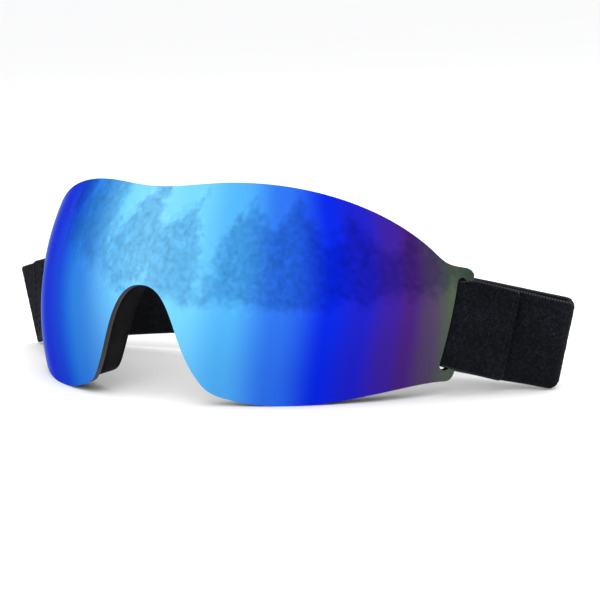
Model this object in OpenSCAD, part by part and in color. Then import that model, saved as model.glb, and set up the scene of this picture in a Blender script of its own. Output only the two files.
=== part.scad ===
// Frameless ski goggles: a one-piece spherical lens, a foam ring that seals against
// the face, and an elastic head strap that wraps a bar at each end of the lens.
// +X is the wearer's left, the front faces -Y, +Z is up, and z = 0 is the table.

/* [Lens] */
// Outside radius of the spherical lens
lens_r = 95.5; // [94:0.5:100]
// Lens thickness
lens_t = 2; // [1.6:0.1:2.4]
// Width of the lens, measured round its curve
lens_span = 228; // [224:1:232]
// Height of the lens from the brow lobes to the cheek lobes
lens_h = 69.5; // [68:0.5:72]

/* [Strap slots] */
// Length of each strap slot
slot_l = 30; // [29.6:0.1:31]
// Width of each strap slot
slot_w = 3.7; // [3.7:0.1:4.2]
// Width of the bar behind each slot, which the strap wraps
bar_w = 2.6; // [2:0.1:2.8]

/* [Foam] */
// Width of the foam ring
foam_w = 9; // [7:0.5:9.5]
// Depth of the foam from lens to lining
foam_d = 8.2; // [6:0.2:10]
// Thickness of the adhesive ring that holds the foam on the lens
tape_t = 0.5; // [0.3:0.1:0.8]
// Thickness of the soft lining that lies against the face
lining_t = 1; // [0.6:0.1:1.5]
// Gap between the lens edge and the foam
rim_gap = 1.5; // [1:0.1:2]

/* [Strap] */
// Width of the elastic strap
strap_w = 29.2; // [28:0.1:29.4]
// Thickness of the strap, pile and all
strap_t = 1.7; // [1.4:0.1:1.8]
// Inside radius of the strap's fold round the bar
wrap_r = 2.7; // [2.6:0.1:2.8]
// Length of the flat run from the bar to the rear fold
run_l = 30; // [28:1:40]
// Inside radius of the rear fold
fold_r = 2.2; // [2:0.1:4]
// Length of the end that is folded back over the run
flap_l = 16.5; // [14:0.5:20]

/* [Hook fastener] */
// Length of the hook patch under the folded end
patch_l = 8; // [6:0.5:8]
// Thickness of the hook patch
patch_t = 0.9; // [0.6:0.1:1]

/* [Hidden] */
$fn = 96;

// ---- Lens outline ----
// Points lie on the lens as [distance round the lens, height, heading of the edge,
// handle before, handle after], for one half, clockwise from the brow.
span_k = lens_span / 228;
height_k = lens_h / 69.5;
brow = [[0, 45.1, 0, 0, 12], [32, 46.7, 0, 12, 24], [101, 24.4, -44, 24, 4]];
lens_end = [[111, 20.1, -8, 6, 2.2], [114.4, 16.2, -105.5, 2.2, 8],
            [106.5, -12.4, -105.5, 8, 2.2], [102.8, -15.7, 179, 2.2, 12]];
foam_brow = [[0, 45.1, 0, 0, 12], [32, 46.7, 0, 12, 18], [84, 35.8, -27, 20, 9]];
foam_end = [[103, 14, -103, 12, 9], [88, -17, -168, 12, 8]];
cheek = [[50, -22.8, 180, 18, 9], [29, -20.6, 166, 8, 5], [19.6, -12.9, 122, 5, 4.5],
         [14.2, -1.2, 110.5, 4.5, 10], [0, 13.9, 180, 7.5, 0]];
curve_steps = 8;

function bezier(a, b, c, d, t) =
    pow(1 - t, 3) * a + 3 * pow(1 - t, 2) * t * b + 3 * (1 - t) * t * t * c + pow(t, 3) * d;
function place(n) = [n[0] * span_k, n[1] * height_k];
function along(n, reach) = place(n) + reach * [cos(n[2]), sin(n[2])];
function half_edge(nodes) = [
    for (i = [0 : len(nodes) - 2], k = [0 : curve_steps - 1])
        let (a = nodes[i], b = nodes[i + 1])
        bezier(place(a), along(a, a[4]), along(b, -b[3]), place(b), k / curve_steps)];
// The whole edge: one half, its middle point, and the other half mirrored.
function full_edge(nodes) =
    let (h = half_edge(nodes), last = place(nodes[len(nodes) - 1]))
    concat(h, [last], [for (i = [len(h) - 1 : -1 : 1]) [-h[i][0], h[i][1]]]);
function unit(v) = v / norm(v);
// Edge moved inwards by d, square to its own run.
function inset(p, d) = [
    for (i = [0 : len(p) - 1])
        let (t = unit(p[(i + 1) % len(p)] - p[(i + len(p) - 1) % len(p)]))
        p[i] + d * [t[1], -t[0]]];
// A point [distance round the lens, height] seen from the lens centre.
function from_centre(p) =
    let (a = p[0] / lens_r * 180 / PI, c = sqrt(pow(lens_r, 2) - pow(p[1], 2)))
    [c * sin(a), -c * cos(a), p[1]];
function as_cone(p) = [for (q = p) let (v = from_centre(q)) [-v[0] / v[1], -v[2] / v[1]]];

lens_edge = full_edge(concat(brow, lens_end, cheek));
foam_edge = inset(full_edge(concat(foam_brow, foam_end, cheek)), rim_gap);
foam_inner = inset(foam_edge, foam_w);

// ---- Strap slots and bars ----
slot_tilt = 15;
bar_at = [109.05 * span_k, 1.6 * height_k];
slot_shift = (bar_w + slot_w) / 2;
slot_at = bar_at - slot_shift * [cos(slot_tilt), -sin(slot_tilt)];
// Half of the bar's own bow along the slot, which the straight strap has to clear
bar_bow = pow(slot_l / 2, 2) / lens_r / 4;

// ---- Strap route ----
// The side run's own axes: x along the run, y towards the head, z along the slot.
run_heading = 28;
run_drop = 11;
slot_lean = -9.8;
fold_lean = 8.7;
lean_start = 2;
wrap_c = wrap_r + strap_t / 2;
fold_c = fold_r + strap_t / 2;
pinch_x = 9;
flap_y = 1.2 - wrap_c;
hook_gap = 0.3;
run_y = flap_y + strap_t + patch_t + hook_gap;
fold_turn = 146;
back_bow = 6;
back_rise = 8.4;
back_droop = 0.15;
// The band gathers where it passes the slot: it starts to spread again at spread_from
// and is at its full width, a little higher, spread_run further on.
slot_gather = 1.5;
spread_from = -2.5;
spread_run = 4.5;
strap_lift = 0.35;

function turn_x(v, a) = [v[0], v[1] * cos(a) - v[2] * sin(a), v[1] * sin(a) + v[2] * cos(a)];
function turn_y(v, a) = [v[0] * cos(a) + v[2] * sin(a), v[1], v[2] * cos(a) - v[0] * sin(a)];
function turn_z(v, a) = [v[0] * cos(a) - v[1] * sin(a), v[0] * sin(a) + v[1] * cos(a), v[2]];
function side_dir(v, lean) = turn_z(turn_y(turn_x(v, lean), run_drop), run_heading);
function ease(t) = t * t * (3 - 2 * t);
// The band leans over as it runs from the slot to the rear fold.
function lean_at(x) =
    slot_lean + (fold_lean - slot_lean) * ease(min(1, max(0, (x - lean_start) / (run_l - lean_start))));

bar_dir = unit(from_centre(bar_at));
bar_c = bar_dir * (lens_r - lens_t / 2 - bar_bow) + [0, lens_r, 0];
function spread(x) = ease(min(1, max(0, (x - spread_from) / spread_run)));
function band_w(x) = strap_w - slot_gather * (1 - spread(x));
function on_side(x, y, lean) = bar_c + side_dir([x, y, strap_lift * spread(x)], lean);
function edge_dir(lean) = side_dir([0, 0, 1], lean);

// A ring is the band's section at a point: its centre, run and edge direction.
function ring(c, run, edge, t, w) =
    let (e = edge * w / 2, n = unit(cross(run, e)) * t / 2)
    [c + e + n, c + e - n, c - e - n, c - e + n];
function run_at(p, i) = unit(p[min(len(p) - 1, i + 1)] - p[max(0, i - 1)]);

// Side route as [x, y, lean]: round the bar, in to the run, along it, round the fold.
wrap_steps = 10;
side_route = concat(
    [for (k = [0 : wrap_steps])
        let (a = 270 - 180 * k / wrap_steps)
        [wrap_c * cos(a), wrap_c * sin(a), slot_lean]],
    [for (k = [1 : 8])
        let (x = pinch_x * k / 8)
        [x, wrap_c + (run_y - wrap_c) * ease(k / 8), lean_at(x)]],
    [for (k = [1 : 19])
        let (x = pinch_x + (run_l - pinch_x) * k / 20)
        [x, run_y, lean_at(x)]],
    [for (k = [0 : 12])
        let (a = fold_turn * k / 12 - 90)
        [run_l + fold_c * cos(a), run_y + fold_c + fold_c * sin(a), fold_lean]]);
side_world = [for (p = side_route) on_side(p[0], p[1], p[2])];
back_start = side_world[len(side_world) - 1];
// The elastic droops a little, edgewise, as it leaves the fold.
back_dir = side_dir([cos(fold_turn), sin(fold_turn), 0], fold_lean) - [0, 0, back_droop];
back_mid = [0, back_start[1] + back_bow, back_start[2] + back_rise];
back_steps = 18;
back_route = [
    for (k = [1 : back_steps])
        bezier(back_start, back_start + 30 * back_dir, back_mid + [46, 0, 0], back_mid, k / back_steps)];
half_route = concat(side_world, back_route);
side_count = len(side_world);
fold_edge = edge_dir(fold_lean);
// Edge direction: as the run leans at the side, and square to X at the middle.
function across(i) =
    i < side_count ? edge_dir(side_route[i][2])
    : unit([fold_edge[0] * (1 - (i - side_count + 1) / back_steps), fold_edge[1], fold_edge[2]]);
half_rings = [
    for (i = [0 : len(half_route) - 1])
        let (run = i == len(half_route) - 1 ? [-1, 0, 0] : run_at(half_route, i))
        ring(half_route[i], run, across(i), strap_t, i < side_count ? band_w(side_route[i][0]) : strap_w)];
function flip(v) = [-v[0], v[1], v[2]];
strap_rings = concat(
    half_rings,
    [for (i = [len(half_rings) - 2 : -1 : 0]) [for (v = half_rings[i]) flip(v)]]);

// Rings of a short band along [x, y] points of the side run, in from the strap's edges.
function side_rings(line, t, margin) =
    let (c = [for (p = line) on_side(p[0], p[1], lean_at(p[0]))])
    [for (i = [0 : len(c) - 1])
        let (x = line[i][0])
        ring(c[i], run_at(c, i), edge_dir(lean_at(x)), t, band_w(x) - 2 * margin)];
// Centre line of the folded end, at distance x from the bar
function flap_at(x) = -wrap_c + (flap_y + wrap_c) * ease(min(1, x / pinch_x));

// ---- How the goggles stand ----
// Lens and strap are laid out level. On the table they lean back until the strap's
// folds touch, with the middle of the footprint at the origin.
stand_pitch = -4.3;
function settle(v) = turn_x(v, stand_pitch);
edge_pts = [for (p = lens_edge) settle(from_centre(p) + [0, lens_r, 0])];
strap_pts = [for (r = half_rings, v = r) settle(v)];
home = [0,
        -(min([for (v = edge_pts) v[1]]) + max([for (v = strap_pts) v[1]])) / 2,
        -min([for (v = concat(edge_pts, strap_pts)) v[2]])];

// Children laid out level, set down on the table.
module set_down() {
    translate(home)
        rotate([stand_pitch, 0, 0])
            children();
}

// Solid wedge from the lens centre out through an outline on the lens.
module wedge(outline, near = 20, far = 110) {
    translate([0, lens_r, 0])
        rotate([90, 0, 0])
            translate([0, 0, near])
                linear_extrude(height = far - near, scale = far / near)
                    polygon(near * as_cone(outline));
}

// Spherical shell between two radii.
module shell(outer, inner) {
    translate([0, lens_r, 0])
        difference() {
            sphere(r = outer);
            sphere(r = inner);
        }
}

// Slot cut square through the lens on the +X side.
module slot_cut() {
    v = from_centre(slot_at);
    straight = slot_l - slot_w;
    translate([0, lens_r, 0])
        rotate([0, 0, atan2(v[1], v[0])])
            rotate([0, -asin(v[2] / lens_r), 0])
                translate([lens_r - 10, 0, 0])
                    rotate([-slot_tilt, 0, 0])
                        rotate([0, 90, 0])
                            linear_extrude(height = 20) {
                                square([straight, slot_w], center = true);
                                for (e = [-1, 1])
                                    translate([e * straight / 2, 0])
                                        circle(d = slot_w, $fn = 48);
                            }
}

// Solid band through a list of rings.
module band(rings) {
    n = len(rings);
    last = 4 * (n - 1);
    polyhedron(
        points = [for (r = rings, v = r) v],
        faces = concat(
            [[0, 1, 2, 3]],
            [for (i = [0 : n - 2], j = [0 : 3])
                let (a = 4 * i + j, b = 4 * i + (j + 1) % 4)
                each [[a, a + 4, b + 4], [a, b + 4, b]]],
            [[last + 3, last + 2, last + 1, last]]));
}

module foam_ring(outer, inner) {
    intersection() {
        shell(outer, inner);
        difference() {
            wedge(foam_edge);
            wedge(foam_inner, 18, 115);
        }
    }
}

fabric = [0.09, 0.09, 0.1];

module lens() {
    color("royalblue")
        set_down()
            difference() {
                intersection() {
                    shell(lens_r, lens_r - lens_t);
                    wedge(lens_edge);
                }
                slot_cut();
                mirror([1, 0, 0]) slot_cut();
            }
}

module foam_tape() {
    color("dimgray")
        set_down()
            foam_ring(lens_r - lens_t, lens_r - lens_t - tape_t);
}

module foam_gasket() {
    color("black")
        set_down()
            foam_ring(lens_r - lens_t - tape_t, lens_r - lens_t - tape_t - foam_d);
}

module face_lining() {
    top = lens_r - lens_t - tape_t - foam_d;
    color("darkslategray")
        set_down()
            foam_ring(top, top - lining_t);
}

module strap() {
    color(fabric)
        set_down()
            band(strap_rings);
}

// Gap left at the outer skin, where the folded end bends away
peel_gap = 0.4;
end_steps = 10;
module strap_end() {
    line = [for (k = [0 : end_steps])
        let (x = peel_gap + (flap_l - peel_gap) * k / end_steps)
        [x, flap_at(x)]];
    band(side_rings(line, strap_t, 0));
}

// Hook patch on the inner face of the folded end, 1 mm in from its edges.
patch_margin = 1;
module hook_patch() {
    start = flap_l - patch_margin / 2 - patch_l;
    steps = 8;
    line = [for (k = [0 : steps])
        let (x = start + patch_l * k / steps)
        [x, flap_at(x) + (strap_t + patch_t) / 2]];
    band(side_rings(line, patch_t, patch_margin));
}

// Two rows of lockstitch down the folded end, over the patch's long sides.
stitch_l = 1.9;
stitch_pitch = 2.6;
stitch_r = 0.25;
stitch_lift = 0.05;
module hook_stitching() {
    rows = [flap_l - patch_l + 0.8, flap_l - 1.7];
    count = floor((strap_w - 5) / stitch_pitch);
    for (x = rows, i = [0 : count])
        translate(bar_c)
            rotate([0, 0, run_heading])
                rotate([0, run_drop, 0])
                    rotate([lean_at(x), 0, 0])
                        translate([x, flap_at(x) - strap_t / 2 - stitch_lift,
                                   (i - count / 2) * stitch_pitch + strap_lift * spread(x)])
                            cylinder(r = stitch_r, h = stitch_l, center = true, $fn = 16);
}

module at_left() {
    set_down() children();
}

module at_right() {
    set_down() mirror([1, 0, 0]) children();
}

module strap_end_left() { color(fabric) at_left() strap_end(); }
module strap_end_right() { color(fabric) at_right() strap_end(); }
module hook_patch_left() { color("slategray") at_left() hook_patch(); }
module hook_patch_right() { color("slategray") at_right() hook_patch(); }
module hook_stitching_left() { color("gray") at_left() hook_stitching(); }
module hook_stitching_right() { color("gray") at_right() hook_stitching(); }

lens();
foam_tape();
foam_gasket();
face_lining();
strap();
strap_end_left();
strap_end_right();
hook_patch_left();
hook_patch_right();
hook_stitching_left();
hook_stitching_right();
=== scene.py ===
import math

import bmesh
import bpy
from mathutils import Matrix, Vector, noise


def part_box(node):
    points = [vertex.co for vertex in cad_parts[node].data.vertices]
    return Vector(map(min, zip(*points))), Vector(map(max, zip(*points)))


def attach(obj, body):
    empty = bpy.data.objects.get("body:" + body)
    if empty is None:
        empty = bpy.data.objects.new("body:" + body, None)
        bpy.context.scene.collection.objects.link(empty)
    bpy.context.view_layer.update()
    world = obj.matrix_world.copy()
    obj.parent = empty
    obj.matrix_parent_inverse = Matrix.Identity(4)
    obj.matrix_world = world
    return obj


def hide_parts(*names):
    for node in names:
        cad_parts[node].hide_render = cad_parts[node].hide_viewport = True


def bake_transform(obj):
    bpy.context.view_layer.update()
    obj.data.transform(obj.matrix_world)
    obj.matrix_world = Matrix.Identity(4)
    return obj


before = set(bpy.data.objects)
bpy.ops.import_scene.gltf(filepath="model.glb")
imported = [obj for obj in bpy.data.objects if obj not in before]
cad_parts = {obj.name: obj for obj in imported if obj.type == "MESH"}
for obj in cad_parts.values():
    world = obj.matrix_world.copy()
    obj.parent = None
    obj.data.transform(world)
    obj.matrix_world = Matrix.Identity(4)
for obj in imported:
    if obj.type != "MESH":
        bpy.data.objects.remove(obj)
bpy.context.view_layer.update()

# ---------------------------------------------------------------------------
# Driving sizes, in metres and degrees. Pieces are laid out level, with the lens
# apex at the origin, and set down on the table by STAND.
# ---------------------------------------------------------------------------
MM = 0.001

LENS_R = 95.5 * MM
LENS_T = 2.0 * MM
TAPE_T = 0.5 * MM
FOAM_D = 8.2 * MM
FOAM_W = 9.0 * MM
LINING_T = 1.0 * MM
RIM_GAP = 1.5 * MM

STRAP_W = 29.2 * MM
STRAP_T = 1.7 * MM
WRAP_R = 2.7 * MM
RUN_L = 30.0 * MM
FOLD_R = 2.2 * MM
FLAP_L = 16.5 * MM
PATCH_L = 8.0 * MM
PATCH_T = 0.9 * MM

SLOT_L = 30.0 * MM
SLOT_W = 3.7 * MM
BAR_W = 2.6 * MM

LENS_CENTRE = Vector((0, LENS_R, 0))
STAND_PITCH = math.radians(-4.3)

MIRROR_X = Matrix.Scale(-1, 4, (1, 0, 0))

# Edges of the lens and of the foam, one half, clockwise from the brow, in mm and
# degrees: distance round the lens, height, heading, handle before, handle after.
BROW = [(0, 45.1, 0, 0, 12), (32, 46.7, 0, 12, 24), (101, 24.4, -44, 24, 4)]
TAB_TOP = [(111, 20.1, -8, 6, 2.2), (114.4, 16.2, -105.5, 2.2, 8)]
TAB_FOOT = [(106.5, -12.4, -105.5, 8, 2.2), (102.8, -15.7, 179, 2.2, 12)]
FOAM_BROW = [(0, 45.1, 0, 0, 12), (32, 46.7, 0, 12, 18), (84, 35.8, -27, 20, 9)]
FOAM_END = [(103, 14, -103, 12, 9), (88, -17, -168, 12, 8)]
CHEEK = [(50, -22.8, 180, 18, 9), (29, -20.6, 166, 8, 5), (19.6, -12.9, 122, 5, 4.5),
         (14.2, -1.2, 110.5, 4.5, 10), (0, 13.9, 180, 7.5, 0)]


# ---------------------------------------------------------------------------
# Curves
# ---------------------------------------------------------------------------
def bezier(a, b, c, d, t):
    """The point at t on the cubic curve from a to d with handles b and c."""
    s = 1 - t
    return a * s ** 3 + b * (3 * s * s * t) + c * (3 * s * t * t) + d * t ** 3


def edge_curve(nodes, steps=24):
    """Points along the edge through the nodes, in metres."""
    points = []
    for a, b in zip(nodes, nodes[1:]):
        pa, pb = Vector(a[:2]) * MM, Vector(b[:2]) * MM
        ha, hb = math.radians(a[2]), math.radians(b[2])
        ca = pa + Vector((math.cos(ha), math.sin(ha))) * (a[4] * MM)
        cb = pb - Vector((math.cos(hb), math.sin(hb))) * (b[3] * MM)
        points += [bezier(pa, ca, cb, pb, k / steps) for k in range(steps)]
    return points + [Vector(nodes[-1][:2]) * MM]


def resample(points, count, closed=False):
    """Evenly spaced points along a line; a closed line's first point isn't repeated."""
    line = points + [points[0]] if closed else points
    lengths = [0.0]
    for a, b in zip(line, line[1:]):
        lengths.append(lengths[-1] + (b - a).length)
    total, out, k = lengths[-1], [], 0
    for i in range(count):
        at = total * i / (count if closed else count - 1)
        while k < len(line) - 2 and lengths[k + 1] < at:
            k += 1
        span = lengths[k + 1] - lengths[k]
        out.append(line[k].lerp(line[k + 1], min(1, (at - lengths[k]) / span)))
    return out


def inset_loop(loop, depth):
    """A closed edge moved inwards a little at a time, so that tight corners stay round."""
    count = max(1, math.ceil(depth / (0.75 * MM)))
    for _ in range(count):
        n = len(loop)
        moved = []
        for i, p in enumerate(loop):
            run = (loop[(i + 1) % n] - loop[i - 1]).normalized()
            moved.append(p + Vector((run.y, -run.x)) * (depth / count))
        loop = [moved[i] * 0.5 + (moved[i - 1] + moved[(i + 1) % n]) * 0.25 for i in range(n)]
    return loop


def on_sphere(p, radius=LENS_R):
    """The point of the lens sphere at (distance round, height), at any radius."""
    angle, c = p[0] / LENS_R, math.sqrt(LENS_R ** 2 - p[1] ** 2)
    way = Vector((c * math.sin(angle), -c * math.cos(angle), p[1])) / LENS_R
    return LENS_CENTRE + way * radius


def find_stand():
    """The move that sets the level layout down where the frame has the lens."""
    turn = Matrix.Rotation(STAND_PITCH, 4, "X")
    edge = [turn @ on_sphere(p) for p in edge_curve(BROW + TAB_TOP + TAB_FOOT + CHEEK, 8)]
    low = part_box("lens")[0]
    home = Vector((0, low[1] - min(p.y for p in edge), low[2] - min(p.z for p in edge)))
    return Matrix.Translation(home) @ turn


STAND = find_stand()


def ease(t):
    """0 up to 1, level at both ends."""
    t = min(1.0, max(0.0, t))
    return t * t * (3 - 2 * t)


# ---------------------------------------------------------------------------
# Making pieces
# ---------------------------------------------------------------------------
def new_object(bm, name):
    """An object in the scene, made from a mesh being edited."""
    mesh = bpy.data.meshes.new(name)
    bm.to_mesh(mesh)
    bm.free()
    made = bpy.data.objects.new(name, mesh)
    bpy.context.scene.collection.objects.link(made)
    return made


def finish_piece(bm, name, body, slot, replaces, *materials):
    """Sets a level mesh down on the table and makes it a piece. A piece given no body is left
    without one."""
    bmesh.ops.transform(bm, matrix=STAND, verts=bm.verts)
    piece = new_object(bm, name)
    for face in piece.data.polygons:
        face.use_smooth = True
    for material in materials:
        piece.data.materials.append(material)
    if body:
        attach(piece, body)
    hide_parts(replaces)
    return piece


def point_key(vert):
    return tuple(round(c, 9) for c in vert.co)


def cap(bm, rows):
    """Closes both ends of a lofted skin."""
    bm.faces.new(rows[0])
    bm.faces.new(rows[-1])


def loft(bm, loops, bridge=False):
    """Skin over a list of closed point loops, each extruded from the one before, with
    the last joined to the first if bridge is set. Returns the loops' vertices."""
    first = [bm.verts.new(p) for p in loops[0]]
    n = len(first)
    edges = [bm.edges.new((first[i], first[(i + 1) % n])) for i in range(n)]
    rows = [first]
    for loop in loops[1:]:
        made = bmesh.ops.extrude_edge_only(bm, edges=edges)["geom"]
        old = {point_key(v): i for i, v in enumerate(rows[-1])}
        row = [None] * n
        for g in made:
            if isinstance(g, bmesh.types.BMVert):
                row[old[point_key(g)]] = g
        for v, p in zip(row, loop):
            v.co = p
        edges = [g for g in made if isinstance(g, bmesh.types.BMEdge)]
        rows.append(row)
    if bridge:
        start = [e for e in bm.edges if len(e.link_faces) == 1 and e not in edges]
        bmesh.ops.bridge_loops(bm, edges=start + edges)
    return rows


# ---------------------------------------------------------------------------
# Materials
# ---------------------------------------------------------------------------
class Nodes:
    """A node tree, with short ways to add and join nodes."""

    def __init__(self, tree):
        self.tree = tree

    def add(self, kind, settings=(), **inputs):
        node = self.tree.nodes.new("ShaderNode" + kind)
        for key, value in dict(settings).items():
            setattr(node, key, value)
        for key, value in inputs.items():
            self.set(node, key.replace("_", " "), value)
        return node

    def set(self, node, key, value):
        socket = node.inputs[int(key)] if key.isdigit() else node.inputs[key]
        if isinstance(value, bpy.types.NodeSocket):
            self.tree.links.new(value, socket)
        else:
            socket.default_value = value

    def math(self, operation, a, b=0.0, clamp=False):
        node = self.add("Math", {"operation": operation, "use_clamp": clamp})
        self.set(node, "0", a)
        self.set(node, "1", b)
        return node.outputs[0]

    def split(self, vector):
        node = self.add("SeparateXYZ", Vector=vector)
        return [node.outputs[axis] for axis in "XYZ"]

    def scale(self, vector, factor):
        node = self.add("VectorMath", {"operation": "SCALE"}, Scale=factor)
        self.set(node, "0", vector)
        return node.outputs["Vector"]

    def remap(self, value, low, high, to_low=0.0, to_high=1.0, curve="LINEAR"):
        node = self.add("MapRange", {"interpolation_type": curve}, From_Min=low,
                        From_Max=high, To_Min=to_low, To_Max=to_high, Value=value)
        return node.outputs[0]

    def ramp(self, factor, stops, interpolation="LINEAR"):
        node = self.add("ValToRGB", Fac=factor)
        band = node.color_ramp
        band.interpolation = interpolation
        while len(band.elements) < len(stops):
            band.elements.new(0.5)
        for element, (at, colour) in zip(band.elements, stops):
            element.position = at
            element.color = (*colour, 1)
        return node.outputs["Color"]

    def noise(self, vector, scale, detail=4.0, roughness=0.5, distortion=0.0):
        node = self.add("TexNoise", Vector=vector, Scale=scale, Detail=detail,
                        Roughness=roughness, Distortion=distortion)
        return node.outputs["Fac"]

    def spots(self, vector, scale):
        node = self.add("TexVoronoi", {"feature": "F1"}, Vector=vector, Scale=scale,
                        Randomness=1.0)
        return node.outputs["Distance"]

    def mix(self, factor, a, b, blend="MIX"):
        node = self.add("Mix", {"data_type": "RGBA", "blend_type": blend})
        for socket, value in (("0", factor), ("6", a), ("7", b)):
            self.set(node, socket, value)
        return node.outputs[2]

    def bump(self, height, distance, strength=1.0, normal=None):
        node = self.add("Bump", Height=height, Distance=distance, Strength=strength)
        if normal is not None:
            self.set(node, "Normal", normal)
        return node.outputs["Normal"]


class Surface(Nodes):
    """The node tree of a new material."""

    def __init__(self, name):
        self.material = bpy.data.materials.new(name)
        self.material.use_nodes = True
        super().__init__(self.material.node_tree)
        self.shader = self.tree.nodes["Principled BSDF"]
        self.coords = self.add("TexCoord")
        self.place = self.coords.outputs["Object"]

    def finish(self, **inputs):
        for key, value in inputs.items():
            self.set(self.shader, key.replace("_", " "), value)
        return self.material


def srgb(r, g, b):
    """An 8-bit screen colour as the linear colour that shaders take."""
    def linear(v):
        v /= 255
        return v / 12.92 if v <= 0.04045 else ((v + 0.055) / 1.055) ** 2.4
    return linear(r), linear(g), linear(b)


def mirror_coating():
    """Blue mirror coating: pale blue at the nose, through deep blue and purple, to the
    bare grey-green lens at the tabs, banded by the angle round the lens. The bands are partly
    the coating's own colour and partly painted reflection: paler at the nose and top, deeper
    and darker blue lower down, with a faint painted mottle."""
    m = Surface("mirror_coating")
    x, y, z = m.split(m.place)
    centre = STAND @ LENS_CENTRE
    angle = m.math("ARCTAN2", m.math("ABSOLUTE", x), m.math("SUBTRACT", centre.y, y))
    # Faint mottle in the lens colour: painted reflection of the surroundings.
    painted_reflection_mottle = m.noise(m.place, 22.0, 2.0)
    height = m.math("SUBTRACT", z, centre.z)
    # Lower on the lens the colour moves towards the deeper bands: painted darker reflection
    # below.
    lower_reflection_shift = m.math("MULTIPLY", m.math("SUBTRACT", 0.02, height), 1.5, clamp=True)
    share = m.math("MULTIPLY", angle, 180 / math.pi / 70)
    share = m.math("ADD", share, m.math("MINIMUM", lower_reflection_shift, 0.07))
    share = m.math("ADD", share, m.math("MULTIPLY", m.math("SUBTRACT", painted_reflection_mottle, 0.5), 0.04))
    # Colour bands round the lens: partly the coating's own colour, partly painted reflection,
    # palest at the nose.
    coating_and_reflection_bands = m.ramp(share, [
        (0.00, srgb(132, 216, 255)), (0.14, srgb(116, 206, 250)), (0.29, srgb(80, 174, 238)),
        (0.43, srgb(46, 112, 228)), (0.57, srgb(8, 38, 220)), (0.66, srgb(30, 32, 192)),
        (0.74, srgb(58, 32, 152)), (0.80, srgb(72, 34, 118)), (0.86, srgb(80, 62, 96)),
        (0.93, srgb(80, 92, 74)), (1.00, srgb(70, 86, 64))], "EASE")
    # Deeper, darker blue towards the bottom of the lens: painted darker reflection.
    lower_reflection_darkening = m.math("MULTIPLY", m.math("SUBTRACT", 0.01, height), 6.0, clamp=True)
    colour = m.mix(lower_reflection_darkening, coating_and_reflection_bands, (*srgb(60, 130, 245), 1), "MULTIPLY")
    smudge = m.noise(m.place, 60.0, 6.0, 0.6, 0.4)
    rough = m.remap(smudge, 0.35, 0.75, 0.035, 0.085)
    return m.finish(Base_Color=colour, Metallic=0.85, Roughness=rough, IOR=1.45,
                    Specular_Tint=(0.12, 0.3, 1.0, 1.0))


def lens_inside():
    """Smoke-tinted inner face of the lens."""
    m = Surface("smoke_lens")
    film = m.ramp(m.noise(m.place, 18.0, 3.0),
                  [(0.35, srgb(34, 36, 42)), (0.65, srgb(50, 50, 54))])
    return m.finish(Base_Color=film, Roughness=0.09, IOR=1.58, Coat_Weight=0.5,
                    Coat_Roughness=0.05)


def lens_rim():
    """Cut and polished edge of the lens."""
    m = Surface("lens_rim")
    grain = m.noise(m.place, 900.0, 3.0)
    tint = m.ramp(grain, [(0.3, srgb(18, 17, 16)), (0.7, srgb(38, 35, 33))])
    return m.finish(Base_Color=tint, Roughness=0.38, IOR=1.45,
                    Normal=m.bump(grain, 0.00003, 0.4))


def foam_cells():
    """Die-cut closed-cell foam: dark, dry, with burst cells on its cut sides."""
    m = Surface("foam_cells")
    patches = m.noise(m.place, 160.0, 4.0)
    tint = m.ramp(patches, [(0.3, srgb(17, 17, 18)), (0.7, srgb(27, 27, 28))])
    pores = m.math("MULTIPLY", m.spots(m.place, 1500.0), 0.8)
    skin = m.bump(patches, 0.0003, 0.35, m.bump(pores, 0.00012, 0.7))
    return m.finish(Base_Color=tint, Roughness=0.9, Normal=skin, Specular_IOR_Level=0.08)


def lining_fleece():
    """Thin brushed fleece on the face side."""
    m = Surface("lining_fleece")
    nap = m.noise(m.place, 1400.0, 5.0, 0.7)
    tufts = m.noise(m.place, 300.0, 3.0)
    tint = m.ramp(m.math("MULTIPLY", m.math("ADD", nap, tufts), 0.5),
                  [(0.35, srgb(16, 16, 17)), (0.65, srgb(34, 33, 33))])
    return m.finish(Base_Color=tint, Roughness=0.95, Sheen_Weight=0.06, Sheen_Roughness=0.4,
                    Specular_IOR_Level=0.06,
                    Normal=m.bump(tufts, 0.0003, 0.5, m.bump(nap, 0.00015, 0.8)))


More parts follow.
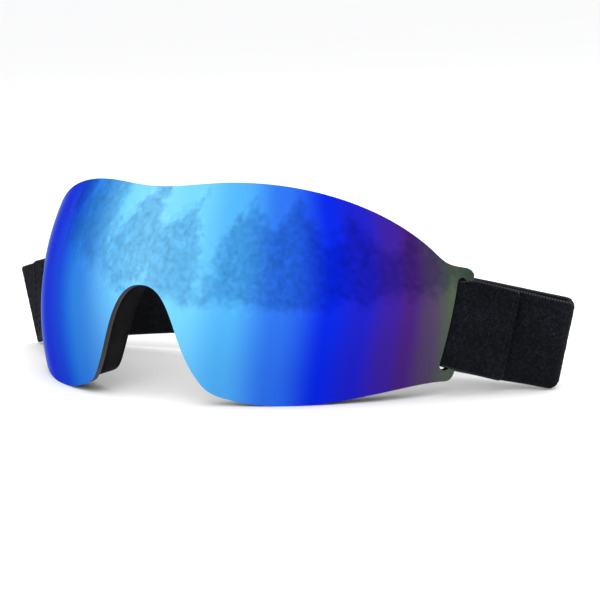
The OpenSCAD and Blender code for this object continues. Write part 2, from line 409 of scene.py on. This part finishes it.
def pile_elastic():
    """Loop-pile elastic: matted near-black pile, with lighter ribbed selvedges, a woven edge
    painted lighter as an edge highlight.
    """
    m = Surface("pile_elastic")
    along, across, _ = m.split(m.coords.outputs["UV"])
    pile = m.noise(m.place, 2300.0, 6.0, 0.75, 0.6)
    mats = m.noise(m.place, 950.0, 5.0, 0.7, 0.3)
    wear = m.noise(m.place, 90.0, 3.0)
    shade = m.math("ADD", m.math("MULTIPLY", pile, 0.55), m.math("MULTIPLY", mats, 0.35))
    shade = m.math("ADD", shade, m.math("MULTIPLY", wear, 0.1))
    tint = m.ramp(shade, [(0.38, srgb(5, 6, 8)), (0.5, srgb(13, 14, 18)),
                          (0.64, srgb(36, 38, 46))])
    edge = m.math("ABSOLUTE", m.math("SUBTRACT", across, 0.5))
    selvedge_highlight_mask = m.remap(edge, 0.478, 0.49)
    ribs = m.math("SINE", m.math("MULTIPLY", along, 2 * math.pi / 0.0009))
    # Ribbed selvedge colour, lighter than the pile: a woven edge with a painted highlight.
    thread = m.ramp(m.math("ADD", m.math("MULTIPLY", ribs, 0.5), 0.5),
                    [(0.2, srgb(20, 21, 23)), (0.8, srgb(56, 57, 60))])
    colour = m.mix(selvedge_highlight_mask, tint, thread)
    fuzz = m.math("ADD", m.math("MULTIPLY", m.spots(m.place, 1900.0), 0.6), pile)
    skin = m.bump(mats, 0.0003, 0.5, m.bump(fuzz, 0.00025, 0.9))
    return m.finish(Base_Color=colour, Roughness=0.94, Normal=skin, Sheen_Weight=0.03,
                    Sheen_Roughness=0.45, Specular_IOR_Level=0.06)


def hook_plastic():
    """Moulded nylon of the hook tape."""
    m = Surface("hook_plastic")
    tint = m.ramp(m.noise(m.place, 700.0, 3.0),
                  [(0.3, srgb(22, 22, 24)), (0.7, srgb(38, 38, 41))])
    return m.finish(Base_Color=tint, Roughness=0.42)


def sewing_thread():
    """Twisted polyester thread."""
    m = Surface("sewing_thread")
    twist = m.noise(m.place, 2500.0, 2.0)
    tint = m.ramp(twist, [(0.3, srgb(12, 13, 15)), (0.7, srgb(28, 30, 34))])
    return m.finish(Base_Color=tint, Roughness=0.7, Specular_IOR_Level=0.1,
                    Normal=m.bump(twist, 0.0001, 0.6))


def adhesive_film():
    """Double-sided adhesive film."""
    m = Surface("adhesive_film")
    tint = m.ramp(m.noise(m.place, 400.0, 3.0),
                  [(0.3, srgb(40, 37, 35)), (0.7, srgb(66, 61, 57))])
    return m.finish(Base_Color=tint, Roughness=0.5)


COATING, INSIDE, RIM = mirror_coating(), lens_inside(), lens_rim()
FOAM, FLEECE, PILE = foam_cells(), lining_fleece(), pile_elastic()
HOOKS, THREAD, FILM = hook_plastic(), sewing_thread(), adhesive_film()


# ---------------------------------------------------------------------------
# Lens
# ---------------------------------------------------------------------------
HALF_COLUMNS = 200
LENS_ROWS = 64
SLOT_REACH = 1.2 * MM
LENS_BEVEL = 0.35 * MM
OUTER, INNER, CUT = 0, 1, 2
BAR_AT = Vector((109.05, 1.6)) * MM
SLOT_TILT = math.radians(15)
SLOT_ALONG = Vector((math.sin(SLOT_TILT), math.cos(SLOT_TILT)))
SLOT_ACROSS = Vector((math.cos(SLOT_TILT), -math.sin(SLOT_TILT)))
SLOT_AT = BAR_AT - SLOT_ACROSS * ((BAR_W + SLOT_W) / 2)


def to_slot_edge(p):
    """How far p, on the lens's +X half, lies outside the slot, and the nearest edge point."""
    d = p - SLOT_AT
    straight = (SLOT_L - SLOT_W) / 2
    spine = SLOT_AT + SLOT_ALONG * min(straight, max(-straight, d.dot(SLOT_ALONG)))
    away = p - spine
    if away.length < 1e-9:
        away = SLOT_ACROSS * 1e-9
    return away.length - SLOT_W / 2, spine + away.normalized() * (SLOT_W / 2)


def lens_columns(count):
    """Foot and top of each column of the lens's +X half, from the middle to the tab end."""
    top = edge_curve(BROW + TAB_TOP)
    foot = resample(edge_curve(TAB_FOOT + CHEEK)[::-1], count)
    ratio = top[-1].x / foot[-1].x
    out = []
    for f in foot:
        at, k = f.x * ratio, 0
        while k < len(top) - 2 and top[k + 1].x < at:
            k += 1
        share = (at - top[k].x) / (top[k + 1].x - top[k].x)
        out.append((f, top[k].lerp(top[k + 1], min(1, max(0, share)))))
    return out


def lens_face(bm):
    """The lens's outer face: a grid fitted to the outline and the slots, on the sphere."""
    columns = lens_columns(HALF_COLUMNS + 1)
    bmesh.ops.create_grid(bm, x_segments=2 * HALF_COLUMNS, y_segments=LENS_ROWS, size=1)
    flat = {}
    for v in bm.verts:
        i = round(v.co.x * HALF_COLUMNS)
        foot, top = columns[abs(i)]
        p = foot.lerp(top, (v.co.y + 1) / 2)
        flat[v] = (p, 1 if i >= 0 else -1)
    inside = [v for v in bm.verts if to_slot_edge(flat[v][0])[0] < -0.05 * MM]
    bmesh.ops.delete(bm, geom=inside, context="VERTS")
    for v in bm.verts:
        gap, edge = to_slot_edge(flat[v][0])
        if v.is_boundary and gap < SLOT_REACH:
            flat[v] = (edge, flat[v][1])
    for v in bm.verts:
        p, side = flat[v]
        v.co = on_sphere((p.x * side, p.y))


def build_lens():
    bm = bmesh.new()
    lens_face(bm)
    bmesh.ops.recalc_face_normals(bm, faces=bm.faces)
    shell = list(bm.faces)
    if shell[0].normal.dot(shell[0].calc_center_median() - LENS_CENTRE) < 0:
        bmesh.ops.reverse_faces(bm, faces=shell)
    made = bmesh.ops.extrude_face_region(bm, geom=shell, use_keep_orig=True)["geom"]
    for g in made:
        if isinstance(g, bmesh.types.BMVert):
            g.co = LENS_CENTRE + (g.co - LENS_CENTRE) * (1 - LENS_T / LENS_R)
    bmesh.ops.reverse_faces(bm, faces=shell)
    bmesh.ops.recalc_face_normals(bm, faces=bm.faces)
    bm.normal_update()
    sharp = [e for e in bm.edges if len(e.link_faces) == 2 and e.calc_face_angle() > 1.0]
    bmesh.ops.bevel(bm, geom=sharp, affect="EDGES", offset=LENS_BEVEL, segments=3,
                    profile=0.5, material=-1, clamp_overlap=True)
    slack = 0.02 * MM
    for face in bm.faces:
        r = [(v.co - LENS_CENTRE).length for v in face.verts]
        if min(r) > LENS_R - slack:
            face.material_index = OUTER
        elif max(r) < LENS_R - LENS_T + slack:
            face.material_index = INNER
        else:
            face.material_index = CUT
    piece = finish_piece(bm, "mirror_lens", "goggle", "mirror_lens", "lens",
                         COATING, INSIDE, RIM)
    set_lens_normals(piece)


def set_lens_normals(piece):
    """Gives the two optical faces the exact normals of their spheres."""
    mesh = piece.data
    centre = STAND @ LENS_CENTRE
    normals = []
    for face in mesh.polygons:
        for k in face.loop_indices:
            way = (mesh.vertices[mesh.loops[k].vertex_index].co - centre).normalized()
            if face.material_index == OUTER:
                normals.append(tuple(way))
            elif face.material_index == INNER:
                normals.append(tuple(-way))
            else:
                normals.append(tuple(mesh.corner_normals[k].vector))
    mesh.normals_split_custom_set(normals)


# ---------------------------------------------------------------------------
# Foam gasket and its lining
# ---------------------------------------------------------------------------
RING_POINTS = 420


def foam_outline():
    half = edge_curve(FOAM_BROW + FOAM_END + CHEEK)
    whole = half + [Vector((-p.x, p.y)) for p in half[-2:0:-1]]
    edge = inset_loop(resample(whole, RING_POINTS, True), RIM_GAP)
    return resample(edge, RING_POINTS, True)


def ring_piece(name, slot, node, material, section, ripple):
    """A closed ring behind the lens, its faces rippled a little; section lists (inset,
    radius) round its profile."""
    outline = foam_outline()
    loops = []
    for inset, radius in section:
        line = inset_loop(outline, inset) if inset > 0 else outline
        loop = []
        for p in line:
            q = on_sphere(p, radius)
            wave = noise.noise(q * 90) * ripple
            loop.append(q + (q - LENS_CENTRE).normalized() * wave)
        loops.append(loop)
    bm = bmesh.new()
    loft(bm, loops, bridge=True)
    bmesh.ops.recalc_face_normals(bm, faces=bm.faces)
    return finish_piece(bm, name, "goggle", slot, node, material)


def rounded_profile(width, near, far, corner):
    """Profile from the lens side, round the face side's two soft corners and back."""
    steps, inner = 4, 5
    profile = [(0.0, near), (0.0, (near + far) / 2)]
    for k in range(steps + 1):
        a = math.pi / 2 * k / steps
        profile.append((corner * (1 - math.cos(a)), far + corner * (1 - math.sin(a))))
    for k in range(1, inner):
        profile.append((corner + (width - 2 * corner) * k / inner, far))
    for k in range(steps + 1):
        a = math.pi / 2 * (1 - k / steps)
        profile.append((width - corner * (1 - math.cos(a)), far + corner * (1 - math.sin(a))))
    return profile + [(width, (near + far) / 2), (width, near)]


def build_foam():
    """The foam ring and its lining, and the look of the adhesive ring's own solid."""
    top = LENS_R - LENS_T - TAPE_T
    base = top - FOAM_D
    foam = ring_piece("foam_gasket_pad", "foam", "foam_gasket", FOAM,
                      rounded_profile(FOAM_W, top, base, 0.5 * MM), 0.12 * MM)
    ring_piece("face_lining_fleece", "lining_fleece", "face_lining", FLEECE,
               rounded_profile(FOAM_W, base - 0.02 * MM, base - LINING_T, 0.8 * MM),
               0.15 * MM)
    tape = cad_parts["foam_tape"]
    tape.data.materials.clear()
    tape.data.materials.append(FILM)


# ---------------------------------------------------------------------------
# Strap route, on the +X side, in the run's own axes: x along the run, y towards
# the head, z across the band.
# ---------------------------------------------------------------------------
RUN_HEADING = math.radians(28)
RUN_DROP = math.radians(11)
SLOT_LEAN = math.radians(-9.8)
FOLD_LEAN = math.radians(8.7)
LEAN_START = 2 * MM
WRAP_C = WRAP_R + STRAP_T / 2
FOLD_C = FOLD_R + STRAP_T / 2
PINCH_X = 9 * MM
FLAP_Y = 1.2 * MM - WRAP_C
HOOK_GAP = 0.3 * MM
RUN_Y = FLAP_Y + STRAP_T + PATCH_T + HOOK_GAP
FOLD_TURN = math.radians(146)
BACK_BOW = 6 * MM
BACK_RISE = 8.4 * MM
BACK_DROOP = 0.15
SLOT_GATHER = 1.5 * MM
SPREAD_FROM = -2.5 * MM
SPREAD_RUN = 4.5 * MM
STRAP_LIFT = 0.35 * MM
BACK_START_PULL = 30 * MM
BACK_MIDDLE_PULL = Vector((46 * MM, 0, 0))
REAR_CORNER = 2.0 * MM
FRONT_CORNER = 1.6 * MM
JOIN_ANGLE = math.radians(120)
BAND_COLUMNS = 36
PILE_HEIGHT = 0.16 * MM
BAR_BOW = (SLOT_L / 2) ** 2 / LENS_R / 4
BAR_C = LENS_CENTRE + (on_sphere(BAR_AT) - LENS_CENTRE).normalized() * (
    LENS_R - LENS_T / 2 - BAR_BOW)


def side_turn(lean):
    """The turn from the run's own axes to the layout's."""
    return (Matrix.Rotation(RUN_HEADING, 3, "Z") @ Matrix.Rotation(RUN_DROP, 3, "Y")
            @ Matrix.Rotation(lean, 3, "X"))


def lean_at(x):
    """The band's lean, which eases from the slot's to the rear fold's along the run."""
    return SLOT_LEAN + (FOLD_LEAN - SLOT_LEAN) * ease((x - LEAN_START) / (RUN_L - LEAN_START))


def corner_loss(depth, radius):
    """How far a corner of this radius cuts in, at a depth behind its tip."""
    depth = min(radius, max(0.0, depth))
    return radius - math.sqrt(radius ** 2 - (radius - depth) ** 2)


def side_point(x, y, lean):
    """A station of the band: its centre, the direction across it, and its width."""
    turn = side_turn(lean)
    spread = ease((x - SPREAD_FROM) / SPREAD_RUN)
    foot_loss = corner_loss(RUN_L + FOLD_C - x, REAR_CORNER)
    top_loss = foot_loss + corner_loss(x + WRAP_C, FRONT_CORNER)
    width = STRAP_W - SLOT_GATHER * (1 - spread) - top_loss - foot_loss
    rise = STRAP_LIFT * spread + (foot_loss - top_loss) / 2
    return BAR_C + turn @ Vector((x, y, rise)), turn @ Vector((0, 0, 1)), width


def flap_y(x):
    """The middle of the folded end's thickness, at x."""
    return -WRAP_C + (FLAP_Y + WRAP_C) * ease(x / PINCH_X)


def wrap_points(start, end, steps=30):
    """Round the bar, between two angles."""
    out = []
    for k in range(steps + 1):
        a = start + (end - start) * k / steps
        out.append(side_point(WRAP_C * math.cos(a), WRAP_C * math.sin(a), SLOT_LEAN))
    return out


def run_points():
    """From the inner side of the bar, along the run, to the end of the rear fold."""
    out = []
    for k in range(1, 25):
        x = PINCH_X * k / 24
        out.append(side_point(x, WRAP_C + (RUN_Y - WRAP_C) * ease(k / 24), lean_at(x)))
    for k in range(1, 25):
        x = PINCH_X + (RUN_L - PINCH_X) * k / 25
        out.append(side_point(x, RUN_Y, lean_at(x)))
    for k in range(25):
        a = FOLD_TURN * k / 24 - math.pi / 2
        out.append(side_point(RUN_L + FOLD_C * math.cos(a),
                              RUN_Y + FOLD_C + FOLD_C * math.sin(a), FOLD_LEAN))
    return out


def back_points(start, steps=60):
    """From the rear fold to the middle of the strap's rear run."""
    way = side_turn(FOLD_LEAN) @ Vector((math.cos(FOLD_TURN), math.sin(FOLD_TURN), 0))
    way -= Vector((0, 0, BACK_DROOP))
    edge = side_turn(FOLD_LEAN) @ Vector((0, 0, 1))
    middle = Vector((0, start.y + BACK_BOW, start.z + BACK_RISE))
    out = []
    for k in range(1, steps + 1):
        t = k / steps
        p = bezier(start, start + way * BACK_START_PULL, middle + BACK_MIDDLE_PULL, middle, t)
        out.append((p, Vector((edge.x * (1 - t), edge.y, edge.z)).normalized(), STRAP_W))
    return out


def spaced(route, pitch):
    """The route's stations, evenly spaced, each with its distance along the route."""
    lengths = [0.0]
    for a, b in zip(route, route[1:]):
        lengths.append(lengths[-1] + (b[0] - a[0]).length)
    count = max(2, round(lengths[-1] / pitch))
    out, k = [], 0
    for i in range(count + 1):
        at = lengths[-1] * i / count
        while k < len(route) - 2 and lengths[k + 1] < at:
            k += 1
        s = min(1, (at - lengths[k]) / (lengths[k + 1] - lengths[k]))
        (pa, ea, wa), (pb, eb, wb) = route[k], route[k + 1]
        out.append((pa.lerp(pb, s), ea.lerp(eb, s).normalized(), wa + (wb - wa) * s, at))
    return out


def band_section():
    """Section of the band, from edge to edge and back: (across, out)."""
    r = STRAP_T / 2
    flat = STRAP_W / 2 - r
    side = [(2 * flat * k / BAND_COLUMNS - flat, r) for k in range(BAND_COLUMNS + 1)]
    turn = [(flat + r * math.cos(a), r * math.sin(a))
            for a in (math.pi / 2 * (1 - k / 3) for k in range(1, 6))]
    half = side + turn
    return half + [(-a, -b) for a, b in half]


def build_band(name, body, route, replaces, pitch, round_end=0.0):
    """A pile-faced band along a route, its surface raised in small random tufts, with
    its far end cut straight or rounded at the corners."""
    points = spaced(route, pitch)
    section = band_section()
    loops = []
    for i, (c, edge, width, at) in enumerate(points):
        a, b = points[max(0, i - 1)][0], points[min(len(points) - 1, i + 1)][0]
        out = (b - a).cross(edge).normalized()
        left = points[-1][3] - at
        narrow = corner_loss(left, round_end)
        thin = 0.75 if round_end and left <= 0.5 * MM else 1.0
        loop = []
        for s, o in section:
            p = c + edge * (s * (width - 2 * narrow) / STRAP_W) + out * (o * thin)
            tuft = noise.noise(p * 1300) * 0.9 + noise.noise(p * 520) * 0.3
            loop.append(p + out * (tuft * PILE_HEIGHT * o / (STRAP_T / 2)))
        loops.append(loop)
    bm = bmesh.new()
    rows = loft(bm, loops)
    uv = bm.loops.layers.uv.new("UVMap")
    place = {}
    for row, point in zip(rows, points):
        for v, (s, _) in zip(row, section):
            place[v] = (point[3], s / STRAP_W + 0.5)
    for face in bm.faces:
        for corner in face.loops:
            corner[uv].uv = place[corner.vert]
    cap(bm, rows)
    bmesh.ops.recalc_face_normals(bm, faces=bm.faces)
    return finish_piece(bm, name, body, "strap_pile", replaces, PILE)


def mirrored(route):
    """The same route on the other side."""
    return [(Vector((-p.x, p.y, p.z)), Vector((-e.x, e.y, e.z)), w) for p, e, w in route]


def build_strap():
    """The band from the left bar, round the back, to the right bar."""
    half = wrap_points(JOIN_ANGLE, math.pi / 2, 8) + run_points()
    half += back_points(half[-1][0])
    whole = half + mirrored(half)[-2::-1]
    build_band("elastic_strap", "strap", whole, "strap", pitch=0.75 * MM)


def build_strap_ends():
    """The two folded ends, round the bar and along the run, with no body of their own."""
    route = wrap_points(JOIN_ANGLE, 3 * math.pi / 2)
    for k in range(1, 31):
        x = FLAP_L * k / 30
        route.append(side_point(x, flap_y(x), lean_at(x)))
    for side, line in (("left", route), ("right", mirrored(route))):
        end = build_band("folded_end_" + side, None, line, "strap_end_" + side,
                         pitch=0.6 * MM, round_end=FRONT_CORNER)
        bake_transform(end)


# ---------------------------------------------------------------------------
# Hook patch and its stitching
# ---------------------------------------------------------------------------
HOOK_BACKING = 0.3 * MM
HOOK_PITCH = 0.95 * MM
HOOK_MARGIN = 0.5 * MM
STITCH_PITCH = 2.6 * MM
STITCH_L = 2.1 * MM
THREAD_R = 0.19 * MM


def under(x):
    """The middle of the hook tape's backing, at x."""
    return flap_y(x) + STRAP_T / 2 + HOOK_BACKING / 2


def outer(x):
    """The outer skin of the folded end, at x."""
    return flap_y(x) - STRAP_T / 2


def face_matrix(x, y, z):
    """Axes on the folded end at x, at the depth y(x) and z across: x along the run,
    y towards the head, z across."""
    step = 0.2 * MM
    a, across, _ = side_point(x, y(x), lean_at(x))
    b = side_point(x + step, y(x + step), lean_at(x + step))[0]
    along = (b - a).normalized()
    inward = across.cross(along).normalized()
    place = Matrix((along, inward, across)).transposed().to_4x4()
    place.translation = a + across * z
    return place


def finish_side_piece(bm, side, name, slot, replaces, material):
    """Makes a piece of the left or right folded end from a mesh laid out on the left."""
    bmesh.ops.recalc_face_normals(bm, faces=bm.faces)
    if side == "right":
        bmesh.ops.transform(bm, matrix=MIRROR_X, verts=bm.verts)
        bmesh.ops.reverse_faces(bm, faces=bm.faces)
    finish_piece(bm, f"{name}_{side}", f"strap_end_{side}", slot, f"{replaces}_{side}",
                 material)


def build_hook_patches():
    start = FLAP_L - 0.5 * MM - PATCH_L
    width = STRAP_W - 2 * MM
    h, w = HOOK_BACKING / 2, width / 2
    outline = ((-h, -w), (-h, 0), (-h, w), (h, w), (h, 0), (h, -w))
    along = int((PATCH_L - 2 * HOOK_MARGIN) / HOOK_PITCH)
    wide = int((width - 2 * HOOK_MARGIN) / HOOK_PITCH)
    for side in ("left", "right"):
        bm = bmesh.new()
        loops = []
        for k in range(11):
            at = face_matrix(start + PATCH_L * k / 10, under, 0)
            loops.append([at @ Vector((0, y, z)) for y, z in outline])
        cap(bm, loft(bm, loops))
        for i in range(along + 1):
            x = start + HOOK_MARGIN + i * HOOK_PITCH
            for j in range(wide + 1):
                z = (j - wide / 2) * HOOK_PITCH
                add_hook(bm, face_matrix(x, under, z), 1 if j % 2 else -1)
        finish_side_piece(bm, side, "hook_tape", "hook_tape", "hook_patch", HOOKS)


def add_hook(bm, place, way):
    """One moulded hook: a square stem that bends over at its tip, along the run or
    against it."""
    stem = [(0, 0, 0.13), (0, 0.32, 0.1), (0.1, 0.5, 0.085), (0.3, 0.5, 0.07),
            (0.36, 0.36, 0.05)]
    loops = []
    for x, y, r in stem:
        c = Vector((x * way * MM, HOOK_BACKING / 2 + y * MM, 0))
        loops.append([place @ (c + Vector((a, 0.3 * b * x, b)) * (r * MM))
                      for a, b in ((-1, -1), (1, -1), (1, 1), (-1, 1))])
    cap(bm, loft(bm, loops))


def build_stitching():
    """Two rows of stitches across the folded end, which hold the hook tape."""
    count = int((STRAP_W - 5 * MM) / STITCH_PITCH)
    for side in ("left", "right"):
        bm = bmesh.new()
        for x in (FLAP_L - PATCH_L + 0.8 * MM, FLAP_L - 1.7 * MM):
            for i in range(count + 1):
                add_stitch(bm, face_matrix(x, outer, (i - count / 2) * STITCH_PITCH))
        finish_side_piece(bm, side, "lock_stitches", "thread", "hook_stitching", THREAD)


def add_stitch(bm, place):
    """A stitch of thread that arches out of the pile and dips back in at both ends."""
    loops = []
    steps = 8
    for k in range(steps + 1):
        t = k / steps * 2 - 1
        c = Vector((0.06 * MM * t, -0.22 * MM + 0.45 * MM * t * t, t * STITCH_L / 2))
        r = THREAD_R * (1 - 0.35 * t * t) * (1 + 0.1 * math.sin(9 * t))
        loops.append([place @ (c + Vector((r * math.cos(a), r * math.sin(a), 0)))
                      for a in (2 * math.pi * j / 8 for j in range(8))])
    cap(bm, loft(bm, loops))


# ---------------------------------------------------------------------------
# Studio
# ---------------------------------------------------------------------------
SKYLINE_BEARING = 3.4
SPIRE_WIDTH = 0.24
SKYLINE_DROP = 0.74
SHADE_WAY = (-0.85, 0.25, -0.45)
WHITE = (1, 1, 1, 1)
LIGHT_AIM = Vector((0, 0, 0.03))

# Camera: the way back to it from the lens, its distance, and its aim's shift right and up.
CAMERA_TARGET = Vector((0, 38.2144 * MM, 0))
CAMERA_WAY = Vector((0.61319, -0.78363, 0.09958))
CAMERA_DISTANCE = 723.1 * MM
CAMERA_SHIFT = (0.0403, 0.0088)
CAMERA_LENS = 130.2


def build_floor():
    bm = bmesh.new()
    bmesh.ops.create_grid(bm, x_segments=8, y_segments=8, size=30)
    floor = new_object(bm, "studio_floor")
    m = Surface("studio_floor")
    tint = m.ramp(m.noise(m.place, 3.0, 2.0),
                  [(0.3, (0.88, 0.88, 0.883)), (0.7, (0.89, 0.89, 0.89))])
    floor.data.materials.append(m.finish(Base_Color=tint, Roughness=0.8))
    floor.visible_glossy = False


def soft_light(name, at, size, power):
    """A large soft light, which lights the goggles but doesn't show in the mirror lens."""
    data = bpy.data.lights.new(name, "AREA")
    data.shape = "RECTANGLE"
    data.size, data.size_y = size
    data.energy = power
    light = bpy.data.objects.new(name, data)
    light.location = at
    light.rotation_euler = (LIGHT_AIM - Vector(at)).to_track_quat("-Z", "Y").to_euler()
    light.visible_glossy = False
    bpy.context.scene.collection.objects.link(light)


def reflected_sky(sky):
    """What reflections show: a pale sky over a soft, darker, ragged skyline, pale ground
    below, and a blue shade low on the goggles' right."""
    way = sky.add("TexCoord").outputs["Generated"]
    x, y, z = sky.split(way)
    bearing = sky.math("ADD", sky.math("ARCTAN2", x, y), SKYLINE_BEARING)
    spires = sky.math("MULTIPLY", sky.math("PINGPONG", bearing, SPIRE_WIDTH), 1.9)
    ragged = sky.math("MULTIPLY", sky.noise(way, 13.0, 8.0, 0.75), 0.75)
    broad = sky.math("MULTIPLY", sky.noise(way, 1.6, 1.0, 0.55), 1.5)
    top = sky.math("ADD", spires, sky.math("ADD", ragged, broad))
    over = sky.math("SUBTRACT", z, sky.math("SUBTRACT", top, SKYLINE_DROP))
    foot = sky.math("MULTIPLY", sky.noise(way, 5.0, 4.0, 0.55), 0.3)
    under_foot = sky.math("SUBTRACT", foot, z)
    clear = sky.math("MAXIMUM", sky.math("MULTIPLY", over, 4.0),
                     sky.math("MULTIPLY", under_foot, 9.0))
    tone = sky.ramp(sky.math("ADD", clear, 0.5), [(0, (0.5, 0.56, 0.66)), (1, (1, 1, 1))])
    flecks = sky.remap(sky.noise(way, 22.0, 10.0, 0.8), 0.36, 0.64, 0.6, 1.5)
    open_sky = sky.mix(sky.math("ADD", clear, 0.2), sky.scale(tone, flecks), WHITE)
    side = sky.add("VectorMath", {"operation": "DOT_PRODUCT"})
    sky.set(side, "0", way)
    sky.set(side, "1", SHADE_WAY)
    shade = sky.remap(side.outputs["Value"], 0.35, 0.75, curve="SMOOTHSTEP")
    dusk = sky.mix(shade, WHITE, (0.34, 0.4, 0.72, 1))
    ground = sky.remap(z, -0.3, 0.1, 0.86, 1.0)
    return sky.scale(sky.mix(1.0, open_sky, dusk, "MULTIPLY"), ground)


def build_lights():
    """White surroundings for the eye, a sky for reflections, and four soft lights."""
    world = bpy.data.worlds.new("studio")
    world.use_nodes = True
    sky = Nodes(world.node_tree)
    reflects = sky.add("LightPath").outputs["Is Glossy Ray"]
    background = sky.tree.nodes["Background"]
    sky.set(background, "Color", sky.mix(reflects, WHITE, reflected_sky(sky)))
    sky.set(background, "Strength", 1.1)
    bpy.context.scene.world = world
    soft_light("key", (0.5, -0.9, 0.9), (0.9, 0.9), 6)
    soft_light("fill", (-0.9, -0.5, 0.5), (0.8, 0.8), 3)
    soft_light("top", (0.0, 0.1, 1.2), (1.4, 1.0), 5)
    soft_light("back", (0.3, 1.0, 0.6), (1.0, 0.6), 3)


def build_camera():
    """A long lens, a little above the goggles and to the wearer's left."""
    right = Vector((0, 0, 1)).cross(CAMERA_WAY).normalized()
    up = CAMERA_WAY.cross(right)
    aim = (right * CAMERA_SHIFT[0] + up * CAMERA_SHIFT[1] - CAMERA_WAY).normalized()
    right = aim.cross(up).normalized()
    up = right.cross(aim)
    place = Matrix((right, up, -aim)).transposed().to_4x4()
    place.translation = CAMERA_TARGET + CAMERA_WAY * CAMERA_DISTANCE
    data = bpy.data.cameras.new("camera")
    data.lens = CAMERA_LENS
    data.sensor_width = 36
    camera = bpy.data.objects.new("camera", data)
    camera.matrix_world = STAND @ place
    bpy.context.scene.collection.objects.link(camera)
    bpy.context.scene.camera = camera
    bpy.context.scene.view_settings.view_transform = "Standard"


build_camera()
build_lights()
build_floor()
build_lens()
build_foam()
build_strap()
build_strap_ends()
build_hook_patches()
build_stitching()
